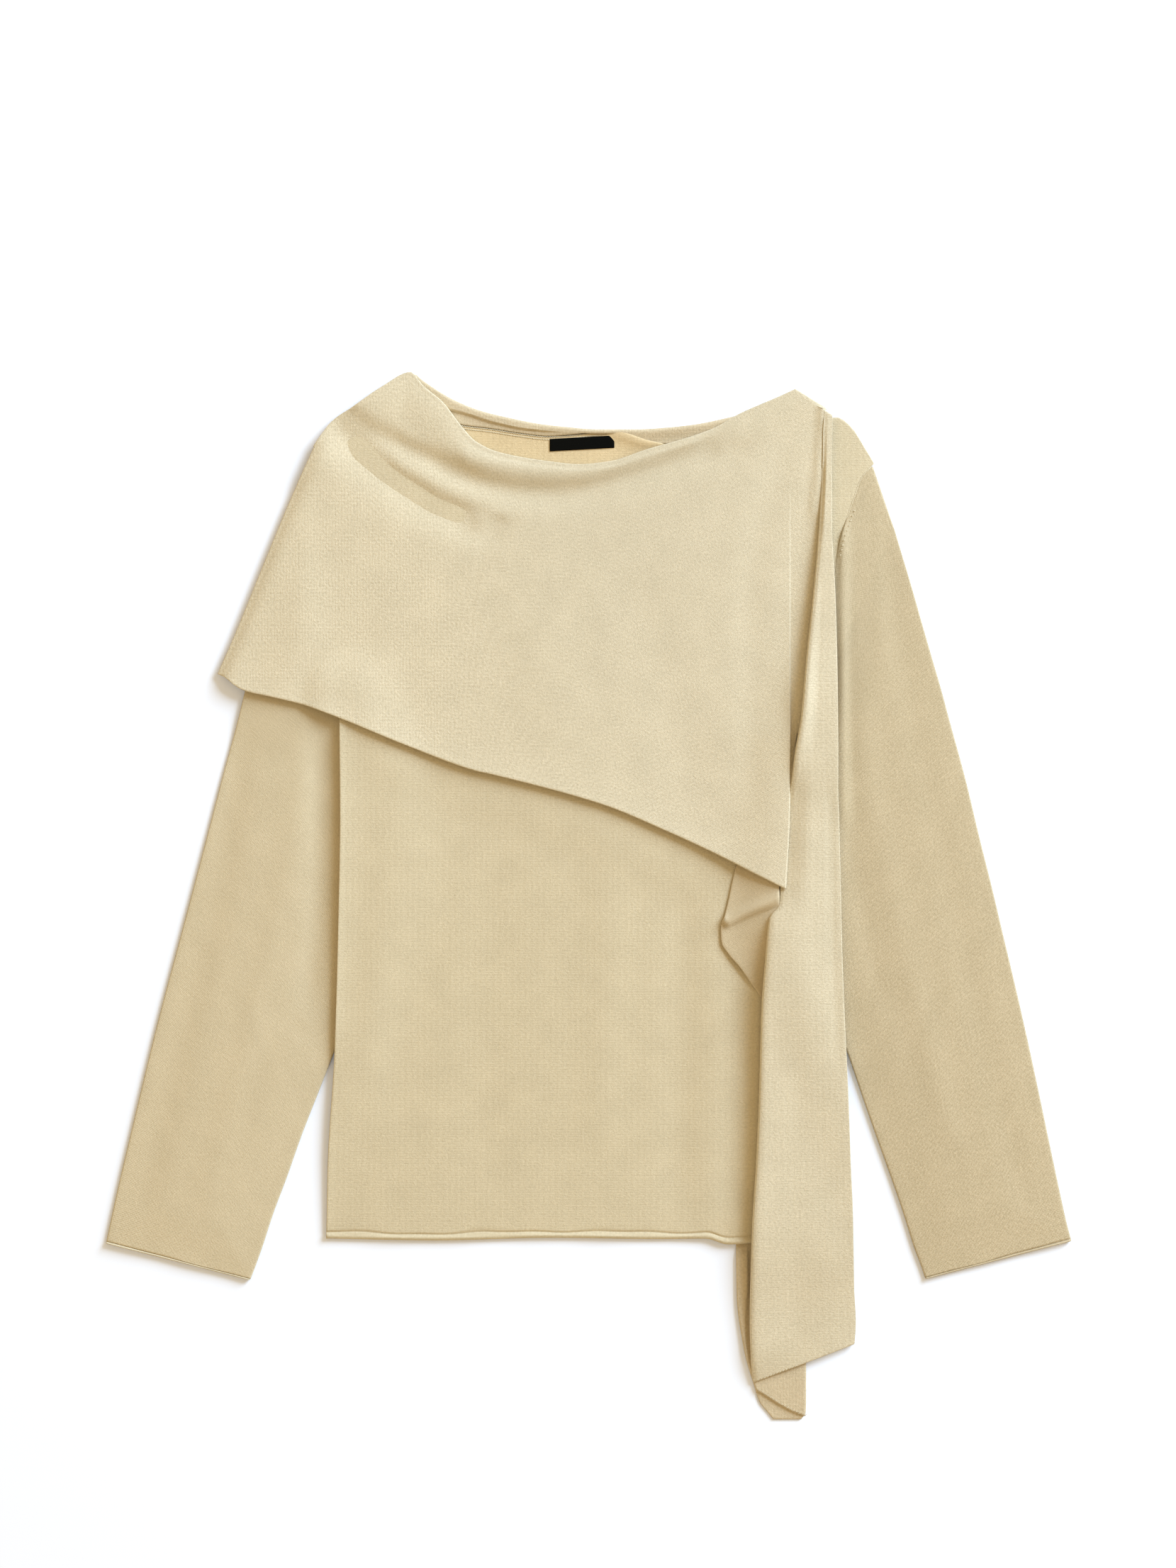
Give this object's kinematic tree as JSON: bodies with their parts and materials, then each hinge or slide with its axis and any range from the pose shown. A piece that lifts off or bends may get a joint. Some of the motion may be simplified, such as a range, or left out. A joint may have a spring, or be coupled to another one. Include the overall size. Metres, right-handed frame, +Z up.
{
  "type": "knit sweater",
  "caption": "Pale beige fine-knit sweater with long sleeves and an asymmetric draped cape, laid flat with its front up.",
  "frame": {"origin": "centre of the garment's footprint, on the surface that it lies on", "axes": "+Z up from the surface, +Y from the hem to the neck, +X to the sweater's right as seen from above"},
  "size_m": [0.7625, 0.8265, 0.0184],
  "materials": {
    "knit": "fine stocking stitch jersey, matt with a soft nap",
    "label": "woven satin label, bare"
  },
  "bodies": {
    "root": {"back_panel": "knit", "front_panel": "knit", "sleeve_right": "knit", "sleeve_left": "knit", "drape_back": "knit", "drape_front": "knit", "drape_fold": "knit", "front_tail": "knit", "neck_label": "label"}
  },
  "joints": []
}
